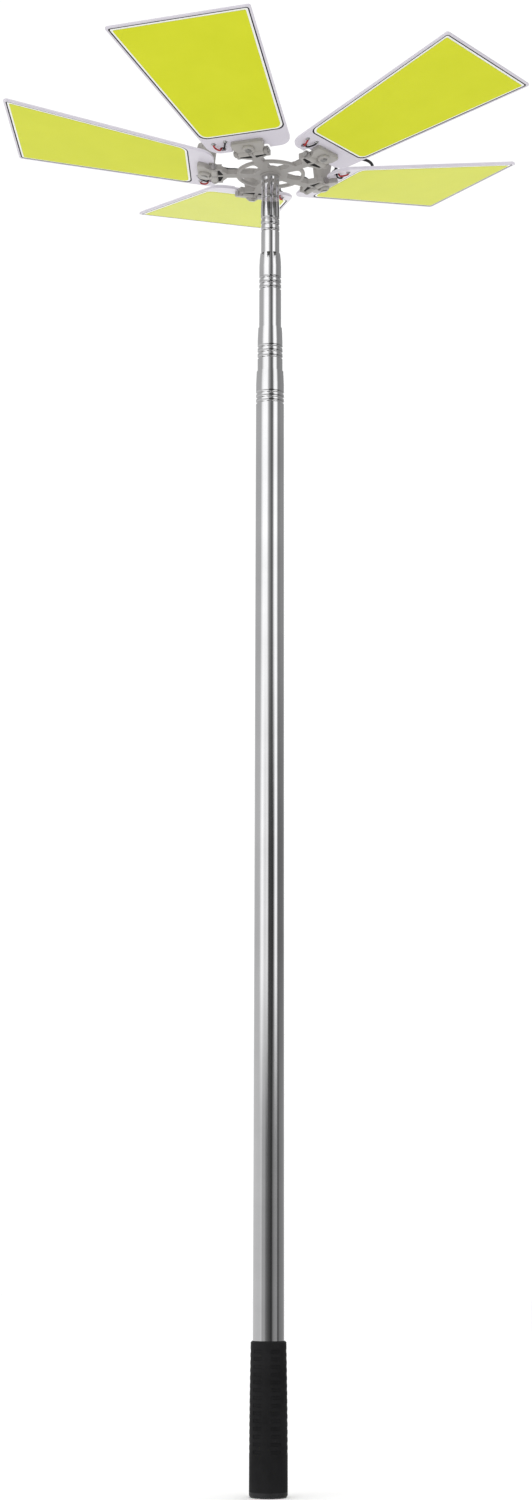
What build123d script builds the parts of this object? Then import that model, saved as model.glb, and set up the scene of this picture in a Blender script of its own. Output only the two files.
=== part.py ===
"""Telescopic area light: a four-section steel pole with five tilting light panels on a spoked hub.

Millimetres. +Z is up the pole, and the origin is the centre of the butt's bottom face.
The first panel points along -Y. Panel parts are modelled on one tilted plane above the
+X axis, and turned about the pole to each of the five places.
"""
from build123d import *
import math
import os

# ---- driving dimensions -------------------------------------------------------------
PANEL_COUNT = 5
FIRST_PANEL_ANGLE = -90.0

# Pole sections, outermost first: outer radius and height of the mouth
TUBE_RADII = (14.0, 12.55, 11.1, 9.3)
TUBE_MOUTHS = (1011.0, 1056.0, 1134.0, 1193.0)
TUBE_BOTTOMS = (4.0, 24.0, 30.0, 36.0)
TUBE_WALL = 0.7
RUNNING_GAP = 0.3
LIP_WALL = 0.6
NECK_LENGTH = 13.0
GROOVE_COUNT = 3
GROOVE_PITCHES = (4.7, 5.4, 5.4, 6.2)
GROOVE_TOP_BELOW_MOUTH = (22.5, 20.0, 26.0, 22.0)
GROOVE_HALF_HEIGHT = 1.5
FLARE_LENGTH = 12.0
FLARE_CONE = 3.0

# Head ferrule, which plugs into the thinnest section
FERRULE_RADIUS = 8.85
FERRULE_BORE = 6.2
FERRULE_SPIGOT_RADIUS = 7.8
FERRULE_SPIGOT_LENGTH = 46.0
FERRULE_PLUG = 12.0
FERRULE_CUP_RADIUS = 6.4
FERRULE_CUP_DEPTH = 6.0

# Grip and butt
BUTT_RADIUS = 16.6
BUTT_HEIGHT = 4.0
BUTT_EDGE = 1.6
BUTT_SPIGOT_HEIGHT = 15.0
GRIP_TOP = 125.0
GRIP_STRAIGHT_TOP = 30.0
GRIP_TOP_RADIUS = 15.5
GRIP_TOP_CHAMFER = 1.2
RIB_COLUMNS = 6
RIB_ROWS = 14
RIB_PITCH = 6.2
RIB_WIDTH = 9.0
RIB_HEIGHT = 3.0
RIB_DEPTH = 0.9
RIB_START_ANGLE = 12.0
RIB_FIRST = 36.0

# Hub
HUB_BOTTOM = 1218.7
HUB_THICKNESS = 5.5
HUB_RECESS = 2.3
HUB_RADIUS = 34.5
HUB_RIM_ROUND = 1.0
HUB_BOSS_RADIUS = 11.0
HUB_NECK_RADIUS = 10.2
HUB_NECK_DROP = 1.2
SLOT_WIDTH = 3.9
SLOT_DEPTH = 3.9
SLOT_END = 34.5
WINDOW_INNER_RADIUS = 17.2
WINDOW_OUTER_RADIUS = 31.2
WINDOW_HALF_ANGLE = 24.0
WINDOW_CORNER = 3.0
ARM_WIDTH = 9.0

# Tilt hinge at the end of each arm
PIN_RADIUS = 1.5
PIN_DISTANCE = 56.0
PIN_HEIGHT = HUB_BOTTOM + HUB_THICKNESS / 2
PIN_HEAD_RADIUS = 2.7
PIN_HEAD = 1.1
EYE_RADIUS = 4.0
WEB_HALF = 1.8
EAR_INNER = 13.6
EAR_OUTER = 17.0
KNUCKLE_GAP = 0.4
KNUCKLE_BORE = 1.58
YOKE_START = 43.0
YOKE_RIB = 2.4
PAD_START = 47.3
PAD_GAP = 0.35

# Panels, along the panel plane from the hinge pin: s outward, w sideways, n up
TILT = 12.8
FACE = 2.7
FRAME_THICKNESS = 3.4
FRAME_BACK_BEVEL = 1.7
LENS_START = 26.5
LENS_END = 208.2
LENS_HALF_START = 42.7
LENS_HALF_END = 68.7
FRAME_RIM = 2.6
FRAME_END = LENS_END + 2.8
FRAME_START = 0.6
FRAME_NEAR_CORNER = 14.0
FRAME_FAR_CORNER = 2.5
NOTCH_HALF = 19.6
NOTCH_END = 6.0
GROOVE_HALF = 0.7
SEAL_SUNK = 0.3
BOARD_SUNK = 0.2
BOARD_THICKNESS = 1.6
LEDGE = 4.5
PHOSPHOR_INSET = 2.8
PHOSPHOR_THICKNESS = 0.45
SINK_CLEARANCE = 0.3
SINK_THICKNESS = 1.2
FIN_HEIGHT = 2.6
FIN_COUNT = 9
FIN_PITCH = 9.0
FIN_WIDTH = 1.6
FIN_START = 66.0
FIN_END = 200.0

# Clamp plate, its bolt and thumb nut
PLATE_THICKNESS = 5.0
PLATE_HALF = 16.6
PLATE_END = 17.0
PLATE_CHAMFER_START = 5.0
PLATE_CHAMFER_END = 9.6
BOLT_AT = 9.0
BOLT_RADIUS = 2.0
BOSS_RADIUS = 6.0
BOSS_HEIGHT = 3.0
BOSS_EDGE = 2.4
BOLT_HEAD_RADIUS = 3.3
BOLT_HEAD_RISE = 1.0
NUT_FOOT_RADIUS = 7.6
NUT_TOP_RADIUS = 10.0
NUT_HEIGHT = 21.3
NUT_LEAN = 4.3
NUT_BAND = 5.0
NUT_EDGE = 1.4
NUT_BORE_HEIGHT = 10.0
FLUTE_COUNT = 10
FLUTE_RADIUS = 1.8
FLUTE_CIRCLE = 11.0

# Wiring
WIRE_RADIUS = 0.85
LEAD_RADIUS = 1.5
LOOSE_LEAD_PANEL = 3
CROSSED_LEAD_PANELS = (2, 3)
WIRE_HOLE = (7.0, -27.5)
WIRE_HOLE_RADIUS = 3.2
RED_PAD = (16.5, -34.0)
BLACK_PAD = (18.0, -21.5)

# Hub cover and its central screw
COVER_RADIUS = 10.8
COVER_HEIGHT = 1.5
COVER_EDGE = 0.9
COVER_SCREW_RADIUS = 2.0
COVER_SCREW_LENGTH = 14.0
COVER_SCREW_HEAD_RADIUS = 3.6
COVER_SCREW_HEAD = 1.8
HEX_RADIUS = 1.6
HEX_DEPTH = 1.2
LEAD_DEPTH = 2.05
LEAD_END_RADIUS = 6.0

HUB_TOP = HUB_BOTTOM + HUB_THICKNESS
FERRULE_TOP = HUB_TOP
BACK = FACE + FRAME_THICKNESS
SIDE_SLOPE = (LENS_HALF_END - LENS_HALF_START) / (LENS_END - LENS_START)
SIDE_STRETCH = math.hypot(1, SIDE_SLOPE)
PANEL_PLANE = Plane(
    origin=(PIN_DISTANCE, 0, PIN_HEIGHT),
    x_dir=(math.cos(math.radians(TILT)), 0, math.sin(math.radians(TILT))),
    z_dir=(-math.sin(math.radians(TILT)), 0, math.cos(math.radians(TILT))),
)
PANEL_ANGLES = [FIRST_PANEL_ANGLE + 360 / PANEL_COUNT * k for k in range(PANEL_COUNT)]


def save(part, name):
    """Label one finished piece and write it as parts/NAME.step."""
    part.label = name
    export_step(part, f"parts/{name}.step")


# ---- pole ---------------------------------------------------------------------------
def groove_heights(section):
    """Heights of the rolled grooves under a section's mouth."""
    top = TUBE_MOUTHS[section] - GROOVE_TOP_BELOW_MOUTH[section]
    return [top - GROOVE_PITCHES[section] * i for i in range(GROOVE_COUNT)]


def wall_profile(radius, lip_radius, flare_radius, groove_depth, section):
    """One side of a tube's wall from the bottom to the mouth, as edges in the XZ plane."""
    bottom, mouth = TUBE_BOTTOMS[section], TUBE_MOUTHS[section]
    start = (flare_radius, bottom)
    if flare_radius > radius:
        Line(start, (flare_radius, bottom + FLARE_LENGTH))
        Line((flare_radius, bottom + FLARE_LENGTH), (radius, bottom + FLARE_LENGTH + FLARE_CONE))
        start = (radius, bottom + FLARE_LENGTH + FLARE_CONE)
    for height in reversed(groove_heights(section)):
        low, high = height - GROOVE_HALF_HEIGHT, height + GROOVE_HALF_HEIGHT
        Line(start, (radius, low))
        ThreePointArc((radius, low), (radius - groove_depth, height), (radius, high))
        start = (radius, high)
    shoulder = (radius, mouth - NECK_LENGTH)
    Line(start, shoulder)
    TangentArc(shoulder, (lip_radius, mouth), tangent=(0, 1))


def pole_tube(section, inner_neighbour):
    """A steel section with a swaged mouth, three rolled grooves and, inside another, a flared foot."""
    radius = TUBE_RADII[section]
    bore = radius - TUBE_WALL
    guide = inner_neighbour + RUNNING_GAP
    flare = radius
    if section > 0:
        flare = TUBE_RADII[section - 1] - TUBE_WALL - RUNNING_GAP
    groove_depth = bore - guide
    with BuildPart() as tube:
        with BuildSketch(Plane.XZ):
            with BuildLine():
                wall_profile(radius, guide + LIP_WALL, flare, groove_depth, section)
                wall_profile(bore, guide, max(flare - TUBE_WALL, bore), groove_depth, section)
                bottom, mouth = TUBE_BOTTOMS[section], TUBE_MOUTHS[section]
                Line((flare, bottom), (max(flare - TUBE_WALL, bore), bottom))
                Line((guide + LIP_WALL, mouth), (guide, mouth))
            make_face()
        revolve(axis=Axis.Z)
    return tube.part


def head_ferrule():
    """Steel ferrule: its spigot turns in the thinnest section, and its top is pressed in the hub."""
    mouth = TUBE_MOUTHS[-1]
    shoulder = mouth + RUNNING_GAP
    with BuildPart() as ferrule:
        with BuildSketch(Plane.XY.offset(mouth - FERRULE_SPIGOT_LENGTH)):
            Circle(FERRULE_SPIGOT_RADIUS)
        extrude(amount=FERRULE_SPIGOT_LENGTH + RUNNING_GAP)
        with BuildSketch(Plane.XY.offset(shoulder)):
            Circle(FERRULE_RADIUS)
        extrude(amount=FERRULE_TOP - shoulder)
        with BuildSketch(Plane.XY.offset(mouth - FERRULE_SPIGOT_LENGTH)):
            Circle(FERRULE_BORE)
        plug_foot = FERRULE_TOP - FERRULE_CUP_DEPTH - FERRULE_PLUG
        extrude(amount=plug_foot - mouth + FERRULE_SPIGOT_LENGTH, mode=Mode.SUBTRACT)
        with BuildSketch(Plane.XY.offset(plug_foot)):
            Circle(COVER_SCREW_RADIUS)
        extrude(amount=FERRULE_PLUG, mode=Mode.SUBTRACT)
        with BuildSketch(Plane.XY.offset(FERRULE_TOP)):
            Circle(FERRULE_CUP_RADIUS)
        extrude(amount=-FERRULE_CUP_DEPTH, mode=Mode.SUBTRACT)
        for angle in PANEL_ANGLES:
            with BuildSketch(rotated(angle, FERRULE_TOP)):
                Rectangle(2 * FERRULE_RADIUS, SLOT_WIDTH, align=(Align.MIN, Align.CENTER))
            extrude(amount=-SLOT_DEPTH, mode=Mode.SUBTRACT)
        chamfer(ferrule.edges().group_by(Axis.Z)[0], 0.6)
        shoulder_rim = ferrule.edges().filter_by_position(Axis.Z, shoulder - 0.1, shoulder + 0.1)
        chamfer(shoulder_rim.sort_by(SortBy.RADIUS)[-1], 0.4)
    return ferrule.part


# ---- grip and butt ------------------------------------------------------------------
def grip_radius(height):
    """Outer radius of the grip, which narrows on one long arc above its straight foot."""
    rise = max(height - GRIP_STRAIGHT_TOP, 0)
    full_rise = GRIP_TOP - GRIP_TOP_CHAMFER - GRIP_STRAIGHT_TOP
    return BUTT_RADIUS - (BUTT_RADIUS - GRIP_TOP_RADIUS) * (rise / full_rise) ** 2


def grip():
    """Rubber sleeve on the foot of the pole, with columns of short ribs."""
    with BuildPart() as sleeve:
        with BuildSketch(Plane.XZ):
            with BuildLine():
                top = (GRIP_TOP_RADIUS, GRIP_TOP - GRIP_TOP_CHAMFER)
                Polyline(
                    (BUTT_RADIUS, GRIP_STRAIGHT_TOP),
                    (BUTT_RADIUS, BUTT_HEIGHT),
                    (TUBE_RADII[0], BUTT_HEIGHT),
                    (TUBE_RADII[0], GRIP_TOP),
                    (GRIP_TOP_RADIUS - GRIP_TOP_CHAMFER, GRIP_TOP),
                    top,
                )
                TangentArc((BUTT_RADIUS, GRIP_STRAIGHT_TOP), top, tangent=(0, 1))
            make_face()
        revolve(axis=Axis.Z)
        for row in range(RIB_ROWS):
            height = RIB_FIRST + RIB_PITCH * row
            floor = grip_radius(height) - RIB_DEPTH
            with PolarLocations(floor, RIB_COLUMNS, start_angle=RIB_START_ANGLE):
                with Locations((0, 0, height)):
                    Box(
                        3 * RIB_DEPTH, RIB_WIDTH, RIB_HEIGHT,
                        align=(Align.MIN, Align.CENTER, Align.CENTER), mode=Mode.SUBTRACT,
                    )
    return sleeve.part


def butt_cap():
    """Plug that closes the foot of the pole."""
    with BuildPart() as cap:
        with BuildSketch():
            Circle(BUTT_RADIUS)
        extrude(amount=BUTT_HEIGHT)
        fillet(cap.edges().group_by(Axis.Z)[0], BUTT_EDGE)
        with BuildSketch(Plane.XY.offset(BUTT_HEIGHT)):
            Circle(TUBE_RADII[0] - TUBE_WALL)
        extrude(amount=BUTT_SPIGOT_HEIGHT)
        chamfer(cap.edges().group_by(Axis.Z)[-1], 1.0)
    return cap.part


# ---- hub ----------------------------------------------------------------------------
def rotated(angle, height):
    """A horizontal plane at a height, with its x axis turned along an arm."""
    return Plane(
        origin=(0, 0, height),
        x_dir=(math.cos(math.radians(angle)), math.sin(math.radians(angle)), 0),
        z_dir=(0, 0, 1),
    )


def across(angle, offset):
    """A vertical plane square to the hinge pin of an arm, offset sideways along the pin."""
    turn = math.radians(angle)
    along = Vector(math.cos(turn), math.sin(turn), 0)
    side = Vector(-math.sin(turn), math.cos(turn), 0)
    return Plane(
        origin=along * PIN_DISTANCE + side * offset + Vector(0, 0, PIN_HEIGHT),
        x_dir=along,
        z_dir=side,
    )


def yoke_points(inset):
    """Outline of the spread end of an arm, from its throat to the hinge pin."""
    return [
        (YOKE_START + 1.6 * inset, ARM_WIDTH / 2 - inset),
        (YOKE_START + 1.6 * inset, -ARM_WIDTH / 2 + inset),
        (PIN_DISTANCE - 5.5, -EAR_OUTER + 1.1 * inset),
        (PIN_DISTANCE, -EAR_OUTER + 1.1 * inset),
        (PIN_DISTANCE, EAR_OUTER - 1.1 * inset),
        (PIN_DISTANCE - 5.5, EAR_OUTER - 1.1 * inset),
    ]


def hub_window():
    """A kidney-shaped opening between two arms, centred on the x axis."""
    half = WINDOW_HALF_ANGLE
    mean = (WINDOW_INNER_RADIUS + WINDOW_OUTER_RADIUS) / 2
    with BuildSketch() as window:
        with BuildLine():
            CenterArc((0, 0), WINDOW_OUTER_RADIUS, -half, 2 * half)
            CenterArc((0, 0), WINDOW_INNER_RADIUS, -half, 2 * half)
            for side in (-half, half):
                turn = math.radians(side)
                inner = (WINDOW_INNER_RADIUS * math.cos(turn), WINDOW_INNER_RADIUS * math.sin(turn))
                outer = (WINDOW_OUTER_RADIUS * math.cos(turn), WINDOW_OUTER_RADIUS * math.sin(turn))
                Line(inner, outer)
        make_face()
        fillet(window.vertices(), WINDOW_CORNER)
    return window.sketch


def hub_spider():
    """Cast hub: a thin disc with five windows, and five slotted arms that end in yokes."""
    with BuildPart() as hub:
        with BuildSketch(Plane.XY.offset(HUB_BOTTOM)):
            Circle(HUB_RADIUS)
        extrude(amount=HUB_THICKNESS - HUB_RECESS)
        for angle in PANEL_ANGLES:
            with BuildSketch(rotated(angle + 180 / PANEL_COUNT, HUB_BOTTOM)):
                add(hub_window())
            extrude(amount=HUB_THICKNESS, mode=Mode.SUBTRACT)
        rims = hub.edges().filter_by(GeomType.CIRCLE)
        fillet(rims.filter_by(lambda e: e.radius > HUB_RADIUS - HUB_RIM_ROUND), HUB_RIM_ROUND)
        with BuildSketch(Plane.XY.offset(HUB_BOTTOM)):
            Circle(HUB_BOSS_RADIUS)
        extrude(amount=HUB_THICKNESS)
        with BuildSketch(Plane.XY.offset(HUB_BOTTOM)):
            Circle(HUB_NECK_RADIUS)
        extrude(amount=-HUB_NECK_DROP)
        chamfer(hub.edges().group_by(Axis.Z)[0], HUB_NECK_DROP / 2)
        for angle in PANEL_ANGLES:
            with BuildSketch(rotated(angle, HUB_BOTTOM)):
                with Locations((HUB_BOSS_RADIUS - 1, 0)):
                    Rectangle(YOKE_START + 2 - HUB_BOSS_RADIUS, ARM_WIDTH, align=(Align.MIN, Align.CENTER))
                Polygon(*yoke_points(0), align=None)
            extrude(amount=HUB_THICKNESS)
            with BuildSketch(rotated(angle, HUB_TOP)):
                Rectangle(SLOT_END, SLOT_WIDTH, align=(Align.MIN, Align.CENTER))
            extrude(amount=-SLOT_DEPTH, mode=Mode.SUBTRACT)
            with BuildSketch(rotated(angle, HUB_BOTTOM)):
                Polygon(*yoke_points(YOKE_RIB), align=None)
                Rectangle(PIN_DISTANCE * 2, 2 * WEB_HALF, mode=Mode.SUBTRACT)
                with Locations((PIN_DISTANCE - EYE_RADIUS - KNUCKLE_GAP, 0)):
                    Rectangle(20, 2 * EAR_INNER, align=(Align.MIN, Align.CENTER))
            extrude(amount=HUB_THICKNESS, mode=Mode.SUBTRACT)
            for start, length in (
                (-EAR_OUTER, EAR_OUTER - EAR_INNER),
                (-WEB_HALF, 2 * WEB_HALF),
                (EAR_INNER, EAR_OUTER - EAR_INNER),
            ):
                with BuildSketch(across(angle, start)):
                    Circle(EYE_RADIUS)
                    with Locations((-EYE_RADIUS, 0)):
                        Rectangle(2 * EYE_RADIUS, HUB_THICKNESS)
                extrude(amount=length)
            with BuildSketch(across(angle, -EAR_OUTER)):
                Circle(PIN_RADIUS)
            extrude(amount=2 * EAR_OUTER, mode=Mode.SUBTRACT)
        with BuildSketch(Plane.XY.offset(HUB_BOTTOM - HUB_NECK_DROP)):
            Circle(FERRULE_RADIUS)
        extrude(amount=3 * HUB_THICKNESS, mode=Mode.SUBTRACT)
    return hub.part


def hinge_pads():
    """Rubber friction pads in the yoke pockets, one on each side of each web."""
    front = PIN_DISTANCE - EYE_RADIUS - PAD_GAP
    with BuildPart() as pads:
        for angle in PANEL_ANGLES:
            with BuildSketch(rotated(angle, HUB_BOTTOM + 0.3)):
                Polygon(*yoke_points(YOKE_RIB), align=None)
                with Locations(((PAD_START + front) / 2, 0)):
                    Rectangle(front - PAD_START, 2 * EAR_INNER, mode=Mode.INTERSECT)
                Rectangle(PIN_DISTANCE * 2, 2 * WEB_HALF, mode=Mode.SUBTRACT)
            extrude(amount=HUB_THICKNESS - 0.6)
    return pads.part


def hinge_pins():
    """Five headed pins, each through the ears and the web of one yoke."""
    with BuildPart() as pins:
        for angle in PANEL_ANGLES:
            with BuildSketch(across(angle, -EAR_OUTER)):
                Circle(PIN_RADIUS)
            extrude(amount=2 * EAR_OUTER)
            for start, length in ((-EAR_OUTER, -PIN_HEAD), (EAR_OUTER, PIN_HEAD)):
                with BuildSketch(across(angle, start)):
                    Circle(PIN_HEAD_RADIUS)
                extrude(amount=length)
    return pins.part


def hub_cover():
    """Flat cap over the boss and the leads' junction in the ferrule, with one screw hole."""
    with BuildPart() as cover:
        with BuildSketch(Plane.XY.offset(HUB_TOP)):
            Circle(COVER_RADIUS)
            Circle(COVER_SCREW_RADIUS + 0.1, mode=Mode.SUBTRACT)
        extrude(amount=COVER_HEIGHT)
        fillet(cover.edges().group_by(Axis.Z)[-1].sort_by(SortBy.RADIUS)[-1], COVER_EDGE)
    return cover.part


def cover_screw():
    """Button-head screw down through the cover into the ferrule's plug."""
    head = HUB_TOP + COVER_HEIGHT
    with BuildPart() as screw:
        with BuildSketch(Plane.XY.offset(head)):
            Circle(COVER_SCREW_RADIUS)
        extrude(amount=-COVER_SCREW_LENGTH)
        with BuildSketch(Plane.XY.offset(head)):
            Circle(COVER_SCREW_HEAD_RADIUS)
        extrude(amount=COVER_SCREW_HEAD)
        fillet(screw.edges().group_by(Axis.Z)[-1], COVER_SCREW_HEAD * 0.7)
        with BuildSketch(Plane.XY.offset(head + COVER_SCREW_HEAD)):
            RegularPolygon(HEX_RADIUS, 6)
        extrude(amount=-HEX_DEPTH, mode=Mode.SUBTRACT)
    return screw.part


# ---- panel parts, on the panel plane ------------------------------------------------
def half_width(s, inset):
    """Half the light window's width at a distance s from the pin, with its sides moved in by inset."""
    return LENS_HALF_START + (s - LENS_START) * SIDE_SLOPE - inset * SIDE_STRETCH


def window_outline(inset, near_corner, far_corner):
    """The light window's outline, moved in by inset, with rounded corners."""
    near, far = LENS_START + inset, LENS_END - inset
    with BuildSketch() as outline:
        Polygon(
            (near, -half_width(near, inset)),
            (far, -half_width(far, inset)),
            (far, half_width(far, inset)),
            (near, half_width(near, inset)),
            align=None,
        )
        fillet(outline.vertices().group_by(Axis.X)[0], near_corner)
        fillet(outline.vertices().group_by(Axis.X)[-1], far_corner)
    return outline.sketch


def frame_outline():
    """The panel frame's outline: wide at its outer end, with round lobes beside the hinge."""
    near = half_width(FRAME_START, -FRAME_RIM)
    far = half_width(FRAME_END, -FRAME_RIM)
    with BuildSketch() as outline:
        Polygon(
            (FRAME_START, -near), (FRAME_END, -far), (FRAME_END, far), (FRAME_START, near),
            align=None,
        )
        fillet(outline.vertices().group_by(Axis.X)[0], FRAME_NEAR_CORNER)
        fillet(outline.vertices().group_by(Axis.X)[-1], FRAME_FAR_CORNER)
        with BuildLine():
            Polyline(
                (0, -NOTCH_HALF), (NOTCH_END, -NOTCH_HALF),
                (NOTCH_END, NOTCH_HALF), (0, NOTCH_HALF), close=True,
            )
        make_face(mode=Mode.SUBTRACT)
        fillet(outline.vertices().filter_by_position(Axis.X, 5.9, 6.1), 2.5)
    return outline.sketch


def panel_frame():
    """Moulded frame: a pocket for the board on the lit side, open to the heat sink behind."""
    with BuildPart() as frame:
        with BuildSketch(PANEL_PLANE.offset(FACE)):
            add(frame_outline())
        extrude(amount=FRAME_THICKNESS)
        back_face = frame.faces().sort_by(Axis((0, 0, 0), PANEL_PLANE.z_dir))[-1]
        chamfer(back_face.outer_wire().edges(), FRAME_BACK_BEVEL)
        with BuildSketch(PANEL_PLANE.offset(FACE)):
            add(window_outline(-GROOVE_HALF, 9, 2.5))
        extrude(amount=BOARD_SUNK + BOARD_THICKNESS, mode=Mode.SUBTRACT)
        with BuildSketch(PANEL_PLANE.offset(FACE)):
            add(window_outline(LEDGE, 6, 2))
            with Locations((BOLT_AT, 0)):
                Circle(BOLT_RADIUS)
            with Locations(WIRE_HOLE):
                Circle(WIRE_HOLE_RADIUS)
        extrude(amount=FRAME_THICKNESS, mode=Mode.SUBTRACT)
    return frame.part


def panel_seal():
    """Dark gasket at the bottom of the groove between the frame and the board."""
    with BuildPart() as seal:
        with BuildSketch(PANEL_PLANE.offset(FACE + SEAL_SUNK)):
            add(window_outline(-GROOVE_HALF, 9, 2.5))
            add(window_outline(GROOVE_HALF, 8.5, 1.8), mode=Mode.SUBTRACT)
        extrude(amount=BOARD_SUNK + BOARD_THICKNESS - SEAL_SUNK)
    return seal.part


def cob_board():
    """White board that carries the light chips."""
    with BuildPart() as board:
        with BuildSketch(PANEL_PLANE.offset(FACE + BOARD_SUNK)):
            add(window_outline(GROOVE_HALF, 8.5, 1.8))
        extrude(amount=BOARD_THICKNESS)
    return board.part


def phosphor():
    """Yellow silicone layer over the chips."""
    with BuildPart() as layer:
        with BuildSketch(PANEL_PLANE.offset(FACE + BOARD_SUNK - PHOSPHOR_THICKNESS)):
            add(window_outline(PHOSPHOR_INSET, 7, 1.2))
        extrude(amount=PHOSPHOR_THICKNESS)
    return layer.part


def heat_sink():
    """Aluminium back plate in the frame's rear opening, with low fins along it."""
    seat = FACE + BOARD_SUNK + BOARD_THICKNESS
    with BuildPart() as sink:
        with BuildSketch(PANEL_PLANE.offset(seat)):
            add(window_outline(LEDGE + SINK_CLEARANCE, 5.7, 1.7))
        extrude(amount=SINK_THICKNESS)
        with BuildSketch(PANEL_PLANE.offset(seat + SINK_THICKNESS)):
            for i in range(FIN_COUNT):
                with Locations(((FIN_START + FIN_END) / 2, FIN_PITCH * (i - (FIN_COUNT - 1) / 2))):
                    Rectangle(FIN_END - FIN_START, FIN_WIDTH)
        extrude(amount=FIN_HEIGHT)
    return sink.part


def clamp_plate():
    """Cast plate under the panel's root, with a bolt boss and the two hinge knuckles."""
    with BuildPart() as plate:
        with BuildSketch(PANEL_PLANE.offset(FACE - PLATE_THICKNESS)) as outline:
            Polygon(
                (0, -EAR_INNER + KNUCKLE_GAP),
                (PLATE_CHAMFER_START, -EAR_INNER + KNUCKLE_GAP),
                (PLATE_CHAMFER_END, -PLATE_HALF),
                (PLATE_END, -PLATE_HALF),
                (PLATE_END, PLATE_HALF),
                (PLATE_CHAMFER_END, PLATE_HALF),
                (PLATE_CHAMFER_START, EAR_INNER - KNUCKLE_GAP),
                (0, EAR_INNER - KNUCKLE_GAP),
                align=None,
            )
            fillet(outline.vertices().group_by(Axis.X)[-1], 2.5)
        extrude(amount=PLATE_THICKNESS)
        lower_face = plate.faces().sort_by(Axis((0, 0, 0), PANEL_PLANE.z_dir))[0]
        far_edges = lower_face.edges().sort_by(Axis((0, 0, 0), PANEL_PLANE.x_dir))[-5:]
        chamfer(far_edges, 0.8)
        with BuildSketch(PANEL_PLANE.offset(FACE - PLATE_THICKNESS)):
            with Locations((BOLT_AT, 0)):
                Circle(BOSS_RADIUS)
        extrude(amount=-BOSS_HEIGHT)
        boss_rim = plate.edges().filter_by(GeomType.CIRCLE)
        fillet(boss_rim.sort_by(Axis((0, 0, 0), PANEL_PLANE.z_dir))[0], BOSS_EDGE)
        for side in (-1, 1):
            start = side * (WEB_HALF + KNUCKLE_GAP)
            with BuildSketch(across(0, start)):
                Circle(EYE_RADIUS)
            extrude(amount=side * (EAR_INNER - KNUCKLE_GAP - WEB_HALF - KNUCKLE_GAP))
        with BuildSketch(PANEL_PLANE.offset(-3 * EYE_RADIUS)):
            Rectangle(2 * (EYE_RADIUS + KNUCKLE_GAP), 2 * (WEB_HALF + KNUCKLE_GAP))
        extrude(amount=6 * EYE_RADIUS, mode=Mode.SUBTRACT)
        with BuildSketch(across(0, -EAR_INNER)):
            Circle(KNUCKLE_BORE)
        extrude(amount=2 * EAR_INNER, mode=Mode.SUBTRACT)
        with BuildSketch(PANEL_PLANE.offset(-3 * EYE_RADIUS)):
            with Locations((BOLT_AT, 0)):
                Circle(BOLT_RADIUS)
        extrude(amount=6 * EYE_RADIUS, mode=Mode.SUBTRACT)
    return plate.part


def clamp_bolt():
    """Dome-headed bolt from the boss, through the plate and the frame, into the thumb nut."""
    head = FACE - PLATE_THICKNESS - BOSS_HEIGHT
    with BuildPart() as bolt:
        with BuildSketch(PANEL_PLANE.offset(head)):
            with Locations((BOLT_AT, 0)):
                Circle(BOLT_RADIUS)
        extrude(amount=BACK - head + NUT_BORE_HEIGHT - 1)
        with BuildSketch(PANEL_PLANE.offset(head)):
            with Locations((BOLT_AT, 0)):
                Circle(BOLT_HEAD_RADIUS)
        extrude(amount=-BOLT_HEAD_RISE)
        rims = bolt.edges().filter_by(GeomType.CIRCLE)
        fillet(rims.sort_by(Axis((0, 0, 0), PANEL_PLANE.z_dir))[0], BOLT_HEAD_RISE * 0.8)
    return bolt.part


def thumb_nut():
    """Plastic thumb nut behind the panel: it flares and leans outward, with a fluted band on top."""
    band = BACK + NUT_HEIGHT - NUT_BAND
    top_at = BOLT_AT + NUT_LEAN
    with BuildPart() as nut:
        with BuildSketch(PANEL_PLANE.offset(BACK)):
            with Locations((BOLT_AT, 0)):
                Circle(NUT_FOOT_RADIUS)
        with BuildSketch(PANEL_PLANE.offset(band)):
            with Locations((top_at, 0)):
                Circle(NUT_TOP_RADIUS)
        loft()
        with BuildSketch(PANEL_PLANE.offset(band)):
            with Locations((top_at, 0)):
                Circle(NUT_TOP_RADIUS)
        extrude(amount=NUT_BAND)
        rims = nut.edges().filter_by(GeomType.CIRCLE)
        fillet(rims.sort_by(Axis((0, 0, 0), PANEL_PLANE.z_dir))[-1], NUT_EDGE)
        with BuildSketch(PANEL_PLANE.offset(BACK + NUT_HEIGHT / 2)):
            with Locations((top_at, 0)):
                with PolarLocations(FLUTE_CIRCLE, FLUTE_COUNT):
                    Circle(FLUTE_RADIUS)
        extrude(amount=NUT_HEIGHT, mode=Mode.SUBTRACT)
        with BuildSketch(PANEL_PLANE.offset(BACK)):
            with Locations((BOLT_AT, 0)):
                Circle(BOLT_RADIUS)
        extrude(amount=NUT_BORE_HEIGHT, mode=Mode.SUBTRACT)
    return nut.part


def tube_along(points, radii, radius):
    """A round wire along straight runs joined by tangent arcs."""
    with BuildPart() as wire:
        with BuildLine() as route:
            FilletPolyline(*points, radius=radii)
        with BuildSketch(Plane(origin=points[0], z_dir=(points[1] - points[0]).normalized())):
            Circle(radius)
        sweep(path=route.wires()[0])
    return wire.part


def on_panel(s, w, n):
    """A point given along the panel plane, in the space of the arm on the x axis."""
    return PANEL_PLANE.from_local_coords(Vector(s, w, n))


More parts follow.
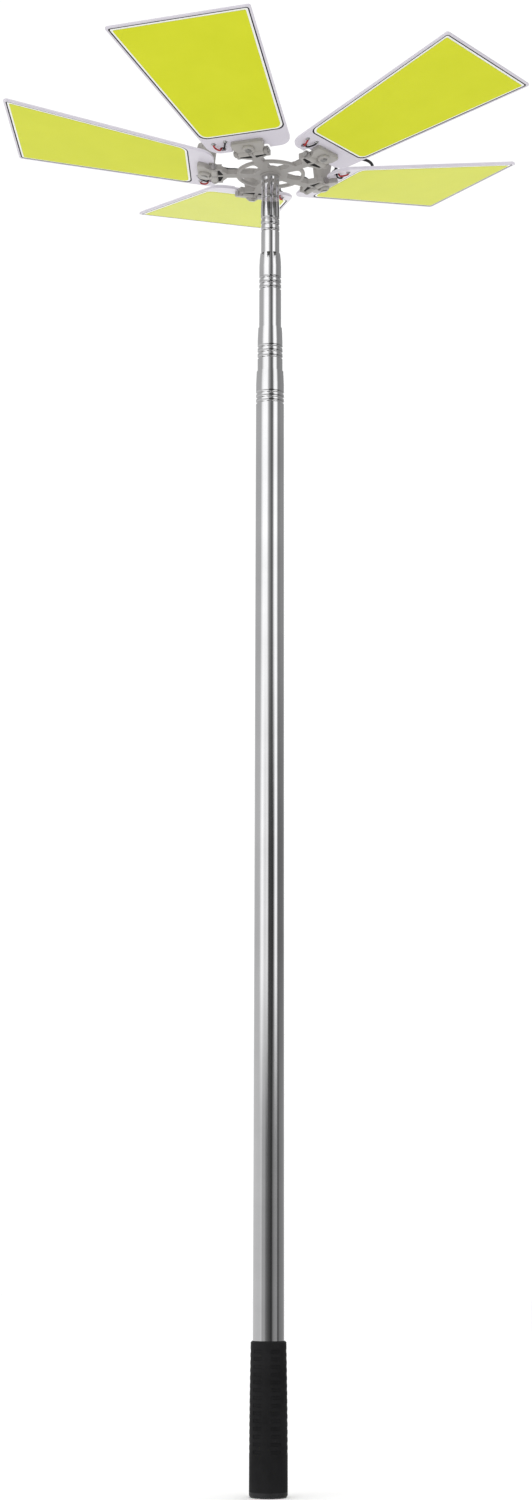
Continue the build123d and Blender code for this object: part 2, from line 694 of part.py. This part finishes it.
def panel_wiring(number):
    """Red and black tails from the board's pads to the hole, and the sheathed lead to the hub."""
    s, w = WIRE_HOLE
    low = FACE - WIRE_RADIUS - 0.1
    red = tube_along(
        [
            on_panel(*RED_PAD, FACE),
            on_panel(*RED_PAD, low - 1.6),
            on_panel(s + 1.2, w - 1.4, low - 2.4),
            on_panel(s + 1.2, w - 1.4, BACK - 1),
        ],
        [1.5, 1.8],
        WIRE_RADIUS,
    )
    black = tube_along(
        [
            on_panel(*BLACK_PAD, FACE),
            on_panel(*BLACK_PAD, low - 1.2),
            on_panel(s + 0.8, w + 1.5, low - 1.8),
            on_panel(s + 0.8, w + 1.5, BACK - 1),
        ],
        [1.3, 1.8],
        WIRE_RADIUS,
    )
    return [red, black, panel_lead(number)]


def panel_lead(number):
    """Sheathed lead: out of the wire hole, round a slack loop behind the panel, then into the arm.

    A loose lead stands up over the panel's edge, and the others lie flat behind it. A crossed lead
    goes round behind the thumb nut, to the arm's other side.
    """
    s, w = WIRE_HOLE
    lie = BACK + LEAD_RADIUS + 0.15
    if number == LOOSE_LEAD_PANEL:
        points = [
            on_panel(s, w, BACK - 1),
            on_panel(s, w, lie + 7),
            on_panel(13, -36.5, lie + 7.5),
            on_panel(25, -42.5, lie + 7),
            on_panel(38, -43.5, lie + 5),
            on_panel(49, -36.5, lie + 1.5),
            on_panel(51, -24.5, lie),
        ]
    else:
        points = [
            on_panel(s, w, BACK - 1),
            on_panel(s, w, lie + 2.2),
            on_panel(9.5, -28.3, lie + 3.9),
            on_panel(17, -31, lie + 2.4),
            on_panel(27, -34, lie + 0.5),
            on_panel(38, -35, lie),
            on_panel(47.5, -29.5, lie),
        ]
    if number in CROSSED_LEAD_PANELS:
        side = 1
        points += [
            on_panel(49, -14, lie),
            on_panel(42, -4, lie),
            on_panel(33.5, 5, lie),
            on_panel(24, 11.5, lie),
            on_panel(14, 14.5, lie + 0.2),
        ]
    else:
        side = -1
        points += [
            on_panel(49, -19, lie),
            on_panel(41, -11.5, lie),
            on_panel(29, -11.5, lie),
            on_panel(17, -14, lie + 0.2),
        ]
    points += [
        on_panel(5, 15 * side, lie + 1.5),
        Vector(50, 10 * side, HUB_TOP + 8),
        Vector(42, 4 * side, HUB_TOP + 3.2),
        Vector(34, 0.5 * side, HUB_TOP + 1.9),
        Vector(26, 0.1 * side, HUB_TOP - 0.9),
        Vector(16, 0, HUB_TOP - LEAD_DEPTH),
        Vector(LEAD_END_RADIUS, 0, HUB_TOP - LEAD_DEPTH),
    ]
    radii = fillet_radii(points)
    print("lead", number, "radii", [round(r, 1) for r in radii])
    return tube_along(points, radii, LEAD_RADIUS)


def fillet_radii(points):
    """For each corner, the largest radius that its two runs allow, with a little left over."""
    radii = []
    for before, here, after in zip(points, points[1:], points[2:]):
        turn = math.radians((here - before).get_angle(after - here))
        shorter = min((here - before).length, (after - here).length)
        radii.append(0.45 * shorter / math.tan(turn / 2))
    return radii


def main():
    os.makedirs("parts", exist_ok=True)
    for number, radius in enumerate(TUBE_RADII):
        inner = TUBE_RADII[number + 1] if number + 1 < len(TUBE_RADII) else FERRULE_SPIGOT_RADIUS
        save(pole_tube(number, inner), f"pole_tube_{number + 1}")
    save(head_ferrule(), "head_ferrule")
    save(grip(), "grip")
    save(butt_cap(), "butt_cap")
    save(hub_spider(), "hub_spider")
    save(hinge_pads(), "hinge_pads")
    save(hinge_pins(), "hinge_pins")
    save(hub_cover(), "hub_cover")
    save(cover_screw(), "cover_screw")
    panel_pieces = {
        "panel_frame": panel_frame(),
        "panel_seal": panel_seal(),
        "cob_board": cob_board(),
        "phosphor": phosphor(),
        "heat_sink": heat_sink(),
        "clamp_plate": clamp_plate(),
        "clamp_bolt": clamp_bolt(),
        "thumb_nut": thumb_nut(),
    }
    for name, piece in panel_pieces.items():
        for number, angle in enumerate(PANEL_ANGLES):
            save(piece.rotate(Axis.Z, angle), f"{name}_{number + 1}")
    for number, angle in enumerate(PANEL_ANGLES):
        wiring = Compound([wire.solid() for wire in panel_wiring(number + 1)])
        save(wiring.rotate(Axis.Z, angle), f"panel_wiring_{number + 1}")


main()
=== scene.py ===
"""Looks for the telescopic area light: materials, wiring, studio and camera around the CAD frame.

Metres, in the row frame: +Z up the pole, the butt's bottom face at the origin, panel 1 towards -Y.
"""
import math

import bmesh
import bpy
from mathutils import Matrix, Vector


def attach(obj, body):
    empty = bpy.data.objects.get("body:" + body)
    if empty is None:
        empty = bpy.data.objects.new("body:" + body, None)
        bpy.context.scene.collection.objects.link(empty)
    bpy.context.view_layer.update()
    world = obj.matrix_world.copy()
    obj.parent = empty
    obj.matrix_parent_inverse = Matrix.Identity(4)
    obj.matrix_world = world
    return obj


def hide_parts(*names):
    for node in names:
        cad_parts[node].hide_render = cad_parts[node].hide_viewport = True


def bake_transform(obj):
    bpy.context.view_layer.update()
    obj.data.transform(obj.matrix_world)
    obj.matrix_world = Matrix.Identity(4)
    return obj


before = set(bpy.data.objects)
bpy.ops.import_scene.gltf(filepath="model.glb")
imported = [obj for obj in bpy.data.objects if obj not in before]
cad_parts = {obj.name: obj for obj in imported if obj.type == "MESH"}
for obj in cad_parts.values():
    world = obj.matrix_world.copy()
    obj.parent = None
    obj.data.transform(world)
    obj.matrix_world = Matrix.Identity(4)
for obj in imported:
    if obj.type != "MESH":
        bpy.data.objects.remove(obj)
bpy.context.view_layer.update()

MM = 0.001
PANELS = (1, 2, 3, 4, 5)
PANEL_STEP = 72

# ---- the panel plane, as the CAD model has it (see its driving dimensions) -----------
PIN_DISTANCE = 56.0 * MM
PIN_HEIGHT = 1221.45 * MM
TILT = math.radians(12.8)
FACE = 2.7
BACK = FACE + 3.4
WIRE_HOLE = (7.0, -27.5)
RED_PAD = (16.5, -34.0)
BLACK_PAD = (18.0, -21.5)
WIRE_DIAMETER = 1.7
LEAD_DIAMETER = 3.0
LOOSE_LEAD_PANEL = 3
CROSSED_LEAD_PANELS = (2, 3)
HUB_TOP = 1224.2
LEAD_HEIGHT = HUB_TOP - 2.05
LEAD_END_RADIUS = 6.0

# Turned profiles: (radius, height) points in mm
SOLDER_PROFILE = ((2.3, 0.0), (2.2, -0.35), (1.7, -0.8), (1.1, -1.25), (0.95, -1.5))
GROMMET_PROFILE = ((4.4, 0.0), (4.4, 0.7), (3.3, 1.1), (2.5, 1.7), (2.0, 2.4), (1.5, 2.4))


def panel_matrix(number):
    """Places panel coordinates (outward, sideways, up, in mm) of one panel in the row frame."""
    turn = Matrix.Rotation(math.radians(-90 + PANEL_STEP * (number - 1)), 4, "Z")
    move = Matrix.Translation((PIN_DISTANCE, 0, PIN_HEIGHT))
    return turn @ move @ Matrix.Rotation(-TILT, 4, "Y") @ Matrix.Scale(MM, 4)


def arm_matrix(number):
    """Places arm coordinates (outward, sideways, height, in mm) in the row frame."""
    return Matrix.Rotation(math.radians(-90 + PANEL_STEP * (number - 1)), 4, "Z") @ Matrix.Scale(MM, 4)


# ---- material helpers ------------------------------------------------------------------
class Nodes:
    """A material's node tree, with short calls for adding and joining nodes."""

    def __init__(self, name):
        self.material = bpy.data.materials.new(name)
        self.material.use_nodes = True
        self.tree = self.material.node_tree
        self.shader = self.tree.nodes["Principled BSDF"]
        self.place = self.add("ShaderNodeTexCoord").outputs["Object"]

    def add(self, kind, **settings):
        node = self.tree.nodes.new(kind)
        for key, value in settings.items():
            setattr(node, key, value)
        return node

    def link(self, source, target):
        self.tree.links.new(source, target)

    def set(self, **values):
        """Sets the shader's own sockets; an underscore in a name stands for a space."""
        for key, value in values.items():
            self.shader.inputs[key.replace("_", " ")].default_value = value

    def stretched(self, scale):
        mapping = self.add("ShaderNodeMapping")
        mapping.inputs["Scale"].default_value = scale
        self.link(self.place, mapping.inputs["Vector"])
        return mapping.outputs["Vector"]

    def noise(self, scale, detail=3.0, roughness=0.5, vector=None):
        node = self.add("ShaderNodeTexNoise")
        node.inputs["Scale"].default_value = scale
        node.inputs["Detail"].default_value = detail
        node.inputs["Roughness"].default_value = roughness
        self.link(vector or self.place, node.inputs["Vector"])
        return node.outputs["Fac"]

    def ramp(self, source, *stops):
        """A colour ramp; each stop is (position, colour or grey)."""
        node = self.add("ShaderNodeValToRGB")
        while len(node.color_ramp.elements) < len(stops):
            node.color_ramp.elements.new(1.0)
        for element, (position, colour) in zip(node.color_ramp.elements, stops):
            element.position = position
            rgb = colour if isinstance(colour, tuple) else (colour, colour, colour)
            element.color = (*rgb, 1.0)
        self.link(source, node.inputs["Fac"])
        return node.outputs["Color"]

    def mix(self, factor, first, second, blend="MIX"):
        node = self.add("ShaderNodeMix", data_type="RGBA", blend_type=blend)
        sockets = (node.inputs[0], node.inputs[6], node.inputs[7])
        for socket, value in zip(sockets, (factor, first, second)):
            if isinstance(value, bpy.types.NodeSocket):
                self.link(value, socket)
            elif isinstance(value, tuple):
                socket.default_value = (*value, 1.0)
            else:
                socket.default_value = value
        return node.outputs[2]

    def math(self, operation, first, second=0.0):
        node = self.add("ShaderNodeMath", operation=operation)
        for socket, value in zip(node.inputs, (first, second)):
            if isinstance(value, bpy.types.NodeSocket):
                self.link(value, socket)
            else:
                socket.default_value = value
        return node.outputs[0]

    def bump(self, height, distance, strength=1.0, after=None):
        node = self.add("ShaderNodeBump")
        node.inputs["Strength"].default_value = strength
        node.inputs["Distance"].default_value = distance
        self.link(height, node.inputs["Height"])
        if after:
            self.link(after, node.inputs["Normal"])
        self.link(node.outputs["Normal"], self.shader.inputs["Normal"])
        return node.outputs["Normal"]

    def colour(self, source):
        self.link(source, self.shader.inputs["Base Color"])

    def rough(self, source):
        self.link(source, self.shader.inputs["Roughness"])


def pole_steel():
    """Drawn and polished stainless: fine lines along the tube, faint smudges in the gloss."""
    m = Nodes("pole_steel")
    m.set(Metallic=1.0)
    drawn = m.noise(1.0, 4, 0.6, m.stretched((2600, 2600, 3)))
    smudge = m.noise(14, 4, 0.6)
    m.colour(m.ramp(smudge, (0.3, (0.70, 0.70, 0.71)), (0.7, (0.80, 0.80, 0.81))))
    m.rough(m.math("ADD", m.math("MULTIPLY", drawn, 0.06), m.math("MULTIPLY", smudge, 0.09)))
    m.bump(drawn, 0.00002, 0.6)
    return m.material


def moulded(name, low, high, roughness, grain=0.00004, coat=0.0, grain_scale=900):
    """Moulded plastic: a fine spark-eroded grain and slow changes of shade."""
    m = Nodes(name)
    m.set(Coat_Weight=coat, Coat_Roughness=0.25, Specular_IOR_Level=0.45)
    cloud = m.noise(16, 3, 0.5)
    fine = m.noise(grain_scale, 3, 0.6)
    m.colour(m.ramp(cloud, (0.25, low), (0.75, high)))
    m.rough(m.ramp(fine, (0.3, roughness - 0.05), (0.7, roughness + 0.07)))
    m.bump(fine, grain, 0.7)
    return m.material


def rubber(name, shade, roughness=0.75):
    """Matt rubber with a fine pebble and a little bloom."""
    m = Nodes(name)
    m.set(Specular_IOR_Level=0.3)
    bloom = m.noise(45, 5, 0.6)
    pebble = m.noise(1500, 2, 0.5)
    dark, light = tuple(0.75 * c for c in shade), tuple(1.5 * c for c in shade)
    m.colour(m.ramp(bloom, (0.35, dark), (0.75, light)))
    m.rough(m.ramp(bloom, (0.3, roughness + 0.08), (0.7, roughness - 0.08)))
    m.bump(pebble, 0.00006, 0.8)
    return m.material


def phosphor():
    """Yellow silicone over the chips: finely grained, matt face on, pale where it is seen edge on."""
    m = Nodes("phosphor_silicone")
    m.set(IOR=1.24, Coat_Weight=0.0, Specular_IOR_Level=0.5)
    grain = m.noise(700, 2, 0.5)
    cloud = m.noise(18, 3, 0.6)
    base = m.ramp(cloud, (0.25, (0.600, 0.640, 0.014)), (0.75, (0.640, 0.675, 0.020)))
    m.colour(m.mix(m.ramp(grain, (0.35, 0.0), (0.8, 0.05)), base, (0.72, 0.72, 0.06)))
    m.rough(m.ramp(grain, (0.3, 0.30), (0.7, 0.38)))
    m.bump(grain, 0.00002, 0.5)
    return m.material


def white_board():
    """White solder mask."""
    m = Nodes("white_board")
    m.set(Coat_Weight=0.3, Coat_Roughness=0.2)
    cloud = m.noise(60, 3, 0.5)
    m.colour(m.ramp(cloud, (0.3, (0.84, 0.85, 0.80)), (0.7, (0.90, 0.90, 0.87))))
    m.rough(m.ramp(cloud, (0.3, 0.32), (0.7, 0.42)))
    m.bump(m.noise(1200, 2, 0.5), 0.00001, 0.5)
    return m.material


def brushed(name, shade, roughness, lines=(20, 900, 900)):
    """Brushed or plated metal."""
    m = Nodes(name)
    m.set(Metallic=1.0)
    brush = m.noise(1.0, 4, 0.7, m.stretched(lines))
    stain = m.noise(35, 4, 0.6)
    dark, light = tuple(0.9 * c for c in shade), tuple(min(1.0, 1.06 * c) for c in shade)
    m.colour(m.ramp(stain, (0.3, dark), (0.7, light)))
    m.rough(m.ramp(brush, (0.25, roughness - 0.08), (0.75, roughness + 0.1)))
    m.bump(brush, 0.00002, 0.6)
    return m.material


def sheath(name, shade, roughness=0.45):
    """Soft PVC on a wire or lead."""
    m = Nodes(name)
    m.set(Specular_IOR_Level=0.5)
    dust = m.noise(160, 4, 0.6)
    dark, light = tuple(0.8 * c for c in shade), tuple(1.25 * c for c in shade)
    m.colour(m.ramp(dust, (0.35, dark), (0.8, light)))
    m.rough(m.ramp(dust, (0.3, roughness - 0.07), (0.7, roughness + 0.1)))
    m.bump(m.noise(1400, 2, 0.5), 0.00002, 0.6)
    return m.material


def paint(material, *names):
    """Gives CAD nodes one material."""
    for name in names:
        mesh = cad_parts[name].data
        mesh.materials.clear()
        mesh.materials.append(material)


def each_panel(name):
    return [f"{name}_{number}" for number in PANELS]


# ---- materials on the CAD nodes --------------------------------------------------------
steel = pole_steel()
hub_plastic = moulded("hub_plastic", (0.285, 0.270, 0.255), (0.325, 0.310, 0.293), 0.44, coat=0.08)
clamp_plastic = moulded("clamp_plastic", (0.355, 0.338, 0.315), (0.395, 0.378, 0.352), 0.42, coat=0.08)
frame_plastic = moulded("frame_plastic", (0.600, 0.570, 0.630), (0.660, 0.630, 0.690), 0.36, coat=0.15)
black_plastic = moulded("black_plastic", (0.010, 0.010, 0.011), (0.018, 0.018, 0.020), 0.5)
grip_rubber = rubber("grip_rubber", (0.0062, 0.0062, 0.0070), 0.70)
pad_rubber = rubber("pad_rubber", (0.010, 0.010, 0.010), 0.7)
seal_rubber = rubber("seal_rubber", (0.028, 0.026, 0.036), 0.6)
fastener_steel = brushed("fastener_steel", (0.55, 0.54, 0.52), 0.36)
sink_aluminium = brushed("sink_aluminium", (0.66, 0.67, 0.69), 0.34)
cable_black = sheath("cable_black", (0.012, 0.012, 0.013))
wire_red = sheath("wire_red", (0.40, 0.015, 0.015))
wire_black = sheath("wire_black", (0.012, 0.012, 0.013))
solder = brushed("solder", (0.68, 0.68, 0.68), 0.28)

paint(steel, "pole_tube_1", "pole_tube_2", "pole_tube_3", "pole_tube_4", "head_ferrule")
paint(grip_rubber, "grip")
paint(black_plastic, "butt_cap")
paint(hub_plastic, "hub_spider", "hub_cover")
paint(clamp_plastic, *each_panel("clamp_plate"), *each_panel("thumb_nut"))
paint(pad_rubber, "hinge_pads")
paint(fastener_steel, "hinge_pins", "cover_screw", *each_panel("clamp_bolt"))
paint(frame_plastic, *each_panel("panel_frame"))
paint(seal_rubber, *each_panel("panel_seal"))
paint(white_board(), *each_panel("cob_board"))
paint(phosphor(), *each_panel("phosphor"))
for name in each_panel("phosphor"):
    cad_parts[name].visible_glossy = False
paint(sink_aluminium, *each_panel("heat_sink"))


# ---- wiring ------------------------------------------------------------------------------
def link_new(name, data, material):
    piece = bpy.data.objects.new(name, data)
    bpy.context.scene.collection.objects.link(piece)
    data.materials.append(material)
    return piece


def smooth_wire(name, points, diameter, material):
    """A round wire on one smooth curve whose control points are the route's points, as a mesh."""
    curve = bpy.data.curves.new(name, "CURVE")
    curve.dimensions = "3D"
    curve.bevel_depth = diameter / 2
    curve.bevel_resolution = 5
    curve.resolution_u = 10
    curve.use_fill_caps = True
    spline = curve.splines.new("NURBS")
    spline.points.add(len(points) - 1)
    for point, place in zip(spline.points, points):
        point.co = (*place, 1)
    spline.order_u = 3
    spline.use_endpoint_u = True
    holder = bpy.data.objects.new(name + "_curve", curve)
    bpy.context.scene.collection.objects.link(holder)
    bpy.context.view_layer.update()
    evaluated = holder.evaluated_get(bpy.context.evaluated_depsgraph_get())
    mesh = bpy.data.meshes.new_from_object(evaluated)
    bpy.data.objects.remove(holder)
    mesh.name = name
    mesh.materials.clear()
    for polygon in mesh.polygons:
        polygon.use_smooth = True
    return link_new(name, mesh, material)


def turned(name, profile, place, material, steps=28):
    """A turned piece: profile is (radius, height) points in mm about the local up axis of place."""
    mesh = bpy.data.meshes.new(name)
    shape = bmesh.new()
    rings = []
    for radius, height in profile:
        ring = []
        for step in range(steps):
            angle = 2 * math.pi * step / steps
            at = (radius * math.cos(angle), radius * math.sin(angle), height)
            ring.append(shape.verts.new(at))
        rings.append(ring)
    for low, high in zip(rings, rings[1:]):
        for i in range(steps):
            shape.faces.new((low[i], low[(i + 1) % steps], high[(i + 1) % steps], high[i]))
    shape.faces.new(list(reversed(rings[0])))
    shape.faces.new(rings[-1])
    shape.transform(place)
    bmesh.ops.recalc_face_normals(shape, faces=shape.faces)
    shape.to_mesh(mesh)
    shape.free()
    for polygon in mesh.polygons:
        polygon.use_smooth = True
    return link_new(name, mesh, material)


def wire_tails(number):
    """Red and black tails on the lit side, each from its solder pad into the wire hole."""
    place = panel_matrix(number)
    s, w = WIRE_HOLE
    low = FACE - WIRE_DIAMETER / 2 - 0.1
    red = [
        (*RED_PAD, FACE), (RED_PAD[0], RED_PAD[1], low - 0.9), (13.2, -33.2, low - 1.9),
        (s + 1.6, w - 2.2, low - 2.0), (s + 1.2, w - 1.4, FACE), (s + 1.2, w - 1.4, BACK - 1),
    ]
    black = [
        (*BLACK_PAD, FACE), (BLACK_PAD[0], BLACK_PAD[1], low - 0.6), (13.6, -23.2, low - 1.6),
        (s + 1.4, w + 1.9, low - 1.5), (s + 0.8, w + 1.5, FACE), (s + 0.8, w + 1.5, BACK - 1),
    ]
    body = f"panel_{number}"
    for name, route, material in (("red_tail", red, wire_red), ("black_tail", black, wire_black)):
        points = [place @ Vector(point) for point in route]
        tail = smooth_wire(f"{name}_{number}", points, WIRE_DIAMETER * MM, material)
        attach(tail, body)
    for name, (x, y) in (("red_joint", RED_PAD), ("black_joint", BLACK_PAD)):
        at = place @ Matrix.Translation((x, y, FACE + 0.02))
        joint = turned(f"{name}_{number}", SOLDER_PROFILE, at, solder)
        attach(joint, body)


def panel_lead(number):
    """The sheathed lead: out of the wire hole, round a slack loop on the back, then into the arm.

    One panel's lead stands up over the panel's edge, and the others lie flat behind it. A crossed
    lead goes round behind the thumb nut, to the arm's other side.
    """
    place, arm = panel_matrix(number), arm_matrix(number)
    s, w = WIRE_HOLE
    lie = BACK + LEAD_DIAMETER / 2 + 0.15
    if number == LOOSE_LEAD_PANEL:
        on_panel = [
            (s, w, BACK - 1), (s, w, lie + 7), (13, -36.5, lie + 7.5), (25, -42.5, lie + 7),
            (38, -43.5, lie + 5), (49, -36.5, lie + 1.5), (51, -24.5, lie),
        ]
    else:
        on_panel = [
            (s, w, BACK - 1), (s, w, lie + 2.2), (9.5, -28.3, lie + 3.9), (17, -31, lie + 2.4),
            (27, -34, lie + 0.5), (38, -35, lie), (47.5, -29.5, lie),
        ]
    if number in CROSSED_LEAD_PANELS:
        side = 1
        on_panel += [
            (49, -14, lie), (42, -4, lie), (33.5, 5, lie), (24, 11.5, lie),
            (14, 14.5, lie + 0.2),
        ]
    else:
        side = -1
        on_panel += [(49, -19, lie), (41, -11.5, lie), (29, -11.5, lie), (17, -14, lie + 0.2)]
    on_panel.append((5, 15 * side, lie + 1.5))
    along_arm = [
        (50, 10 * side, HUB_TOP + 8), (42, 4 * side, HUB_TOP + 3.2),
        (34, 0.5 * side, HUB_TOP + 1.9), (26, 0.1 * side, HUB_TOP - 0.9),
        (16, 0, LEAD_HEIGHT), (LEAD_END_RADIUS, 0, LEAD_HEIGHT),
    ]
    points = [place @ Vector(point) for point in on_panel]
    points += [arm @ Vector(point) for point in along_arm]
    lead = smooth_wire(f"panel_lead_{number}", points, LEAD_DIAMETER * MM, cable_black)
    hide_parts(f"panel_wiring_{number}")
    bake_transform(lead)
    at = place @ Matrix.Translation((s, w, BACK))
    sleeve = turned(f"grommet_{number}", GROMMET_PROFILE, at, cable_black)
    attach(sleeve, f"panel_{number}")


for panel_number in PANELS:
    wire_tails(panel_number)
    panel_lead(panel_number)


# ---- studio --------------------------------------------------------------------------------
def world_light():
    """White to the camera, soft and even to matt surfaces, upright light and dark bands to gloss."""
    world = bpy.data.worlds.new("studio")
    bpy.context.scene.world = world
    world.use_nodes = True
    tree = world.node_tree
    tree.nodes.clear()

    def add(kind, **settings):
        node = tree.nodes.new(kind)
        for key, value in settings.items():
            setattr(node, key, value)
        return node

    def band_ramp(source, stops):
        node = add("ShaderNodeValToRGB")
        while len(node.color_ramp.elements) < len(stops):
            node.color_ramp.elements.new(1.0)
        for element, (bearing, grey) in zip(node.color_ramp.elements, stops):
            element.position = (bearing + 180) / 360
            element.color = (grey, grey, grey, 1.0)
        tree.links.new(source, node.inputs["Fac"])
        return node.outputs["Color"]

    def share(source, low, high, smooth="SMOOTHSTEP"):
        node = add("ShaderNodeMapRange", interpolation_type=smooth)
        node.inputs["From Min"].default_value = low
        node.inputs["From Max"].default_value = high
        tree.links.new(source, node.inputs["Value"])
        return node.outputs["Result"]

    def blend(factor, first, second):
        node = add("ShaderNodeMix", data_type="RGBA")
        tree.links.new(factor, node.inputs[0])
        for socket, value in ((node.inputs[6], first), (node.inputs[7], second)):
            if isinstance(value, tuple):
                socket.default_value = value
            else:
                tree.links.new(value, socket)
        return node.outputs[2]

    def background(colour, strength):
        node = add("ShaderNodeBackground")
        node.inputs["Strength"].default_value = strength
        if isinstance(colour, tuple):
            node.inputs["Color"].default_value = colour
        else:
            tree.links.new(colour, node.inputs["Color"])
        return node.outputs[0]

    def either(chance, first, second):
        node = add("ShaderNodeMixShader")
        tree.links.new(chance, node.inputs[0])
        tree.links.new(first, node.inputs[1])
        tree.links.new(second, node.inputs[2])
        return node.outputs[0]

    direction = add("ShaderNodeTexCoord").outputs["Generated"]
    turn = add("ShaderNodeMapping", vector_type="POINT")
    turn.inputs["Rotation"].default_value = (0, 0, -CAMERA_BEARING)
    tree.links.new(direction, turn.inputs["Vector"])
    parts = add("ShaderNodeSeparateXYZ")
    tree.links.new(turn.outputs["Vector"], parts.inputs["Vector"])
    bearing = add("ShaderNodeMath", operation="ARCTAN2")
    flip = add("ShaderNodeMath", operation="MULTIPLY")
    flip.inputs[1].default_value = -1
    tree.links.new(parts.outputs["Y"], flip.inputs[0])
    tree.links.new(parts.outputs["X"], bearing.inputs[0])
    tree.links.new(flip.outputs[0], bearing.inputs[1])
    around = share(bearing.outputs[0], -math.pi, math.pi, "LINEAR")
    up = parts.outputs["Z"]
    low, middle = band_ramp(around, LOW_BANDS), band_ramp(around, MIDDLE_BANDS)
    bands = blend(share(up, 0.03, 0.11), low, middle)
    bands = blend(share(up, 0.14, 0.25), bands, band_ramp(around, HIGH_BANDS))
    bands = blend(share(up, -0.55, -0.25), band_ramp(around, BELOW_BANDS), bands)
    sides = blend(share(up, -0.1, 0.8), (*SIDE_LIGHT, 1), (*TOP_LIGHT, 1))
    ray = add("ShaderNodeLightPath")
    gloss = background(bands, BAND_STRENGTH)
    matt = background(sides, 1.0)
    seen = background((1, 1, 1, 1), BACKDROP)
    light = either(ray.outputs["Is Glossy Ray"], matt, gloss)
    out = add("ShaderNodeOutputWorld")
    tree.links.new(either(ray.outputs["Is Camera Ray"], light, seen), out.inputs["Surface"])


# Bearings run from -180 to 180 degrees about the pole, with 0 behind the camera and + to its right
CAMERA_BEARING = math.radians(19.28)
BACKDROP = 1.05
BAND_STRENGTH = 1.3
SIDE_LIGHT = (0.80, 0.80, 0.82)
TOP_LIGHT = (1.12, 1.12, 1.12)
BELOW_BANDS = (
    (-180, 0.32), (-110, 0.30), (-70, 0.45), (-50, 0.75), (-16, 0.75), (-6, 0.03),
    (32, 0.03), (40, 0.7), (58, 0.6), (66, 0.12), (120, 0.15), (150, 0.3), (180, 0.32),
)
LOW_BANDS = (
    (-180, 1.0), (-160, 0.95), (-146, 0.5), (-70, 0.46), (-56, 0.52), (-50, 0.31),
    (-30, 0.30), (-22, 0.14), (-4, 0.07), (20, 0.02), (30, 0.16), (40, 0.22), (60, 0.25),
    (66, 0.07), (74, 0.07), (82, 0.16), (120, 0.22), (144, 0.32), (160, 0.95), (180, 1.0),
)
MIDDLE_BANDS = (
    (-180, 1.0), (-160, 0.95), (-146, 0.5), (-128, 0.42), (-78, 0.44), (-68, 0.80),
    (-56, 1.0), (-44, 0.85), (-34, 0.66), (-14, 0.82), (-5, 0.06), (29, 0.03), (36, 0.3),
    (44, 0.9), (56, 1.0), (63, 0.3), (70, 0.12), (116, 0.15), (128, 0.18), (144, 0.35),
    (160, 0.95), (180, 1.0),
)
HIGH_BANDS = (
    (-180, 1.0), (-160, 0.95), (-146, 0.4), (-128, 0.37), (-76, 0.38), (-66, 0.75),
    (-52, 1.0), (-22, 1.0), (-12, 0.45), (0, 0.22), (14, 0.09), (22, 0.13), (29, 0.65),
    (36, 1.0), (54, 1.0), (62, 0.45), (68, 0.21), (112, 0.26), (125, 0.24), (144, 0.35),
    (160, 0.95), (180, 1.0),
)
world_light()


def area_light(name, at, target, size, watts):
    light = bpy.data.lights.new(name, "AREA")
    light.shape = "RECTANGLE"
    light.size, light.size_y = size
    light.energy = watts
    lamp = bpy.data.objects.new(name, light)
    lamp.location = at
    lamp.rotation_euler = (Vector(target) - Vector(at)).to_track_quat("-Z", "Y").to_euler()
    lamp.visible_glossy = False
    bpy.context.scene.collection.objects.link(lamp)


HUB_PLACE = (0, 0, 1.2)
area_light("key", (-1.9, -2.4, 2.9), HUB_PLACE, (1.6, 1.6), 14)
area_light("back", (0.4, 2.6, 2.8), HUB_PLACE, (1.8, 1.0), 10)


FLOOR_HALF = 7.0
FLOOR_DROP = 0.0005


def make_floor():
    mesh = bpy.data.meshes.new("floor")
    half = FLOOR_HALF
    corners = [(-half, -half, 0), (half, -half, 0), (half, half, 0), (-half, half, 0)]
    mesh.from_pydata(corners, [], [(0, 1, 2, 3)])
    floor = bpy.data.objects.new("floor", mesh)
    floor.location.z = -FLOOR_DROP
    bpy.context.scene.collection.objects.link(floor)
    m = Nodes("floor_paper")
    cloud = m.noise(0.8, 2, 0.5)
    m.colour(m.ramp(cloud, (0.3, 0.95), (0.7, 0.97)))
    m.set(Roughness=0.9, Specular_IOR_Level=0.1)
    mesh.materials.append(m.material)
    floor.visible_glossy = False


make_floor()


# ---- camera ----------------------------------------------------------------------------------
ROLL = math.radians(0.09)
PITCH = math.radians(17.95)
CAMERA_DISTANCE = 2.355
CAMERA_HEIGHT = 0.213
CAMERA_LENS = 61.27
CAMERA_SHIFT = (-0.0027, -0.2287)


def make_camera():
    data = bpy.data.cameras.new("camera")
    data.sensor_width = 36.0
    data.lens = CAMERA_LENS
    data.shift_x, data.shift_y = CAMERA_SHIFT
    data.clip_end = 60
    camera = bpy.data.objects.new("camera", data)
    camera.location = (
        CAMERA_DISTANCE * math.sin(CAMERA_BEARING),
        -CAMERA_DISTANCE * math.cos(CAMERA_BEARING),
        CAMERA_HEIGHT,
    )
    lifted = Matrix.Rotation(math.pi / 2 + PITCH, 3, "X")
    turned_to = Matrix.Rotation(CAMERA_BEARING, 3, "Z") @ lifted
    camera.rotation_euler = (turned_to @ Matrix.Rotation(ROLL, 3, "Z")).to_euler()
    bpy.context.scene.collection.objects.link(camera)
    bpy.context.scene.camera = camera


make_camera()
bpy.context.scene.view_settings.view_transform = "Standard"
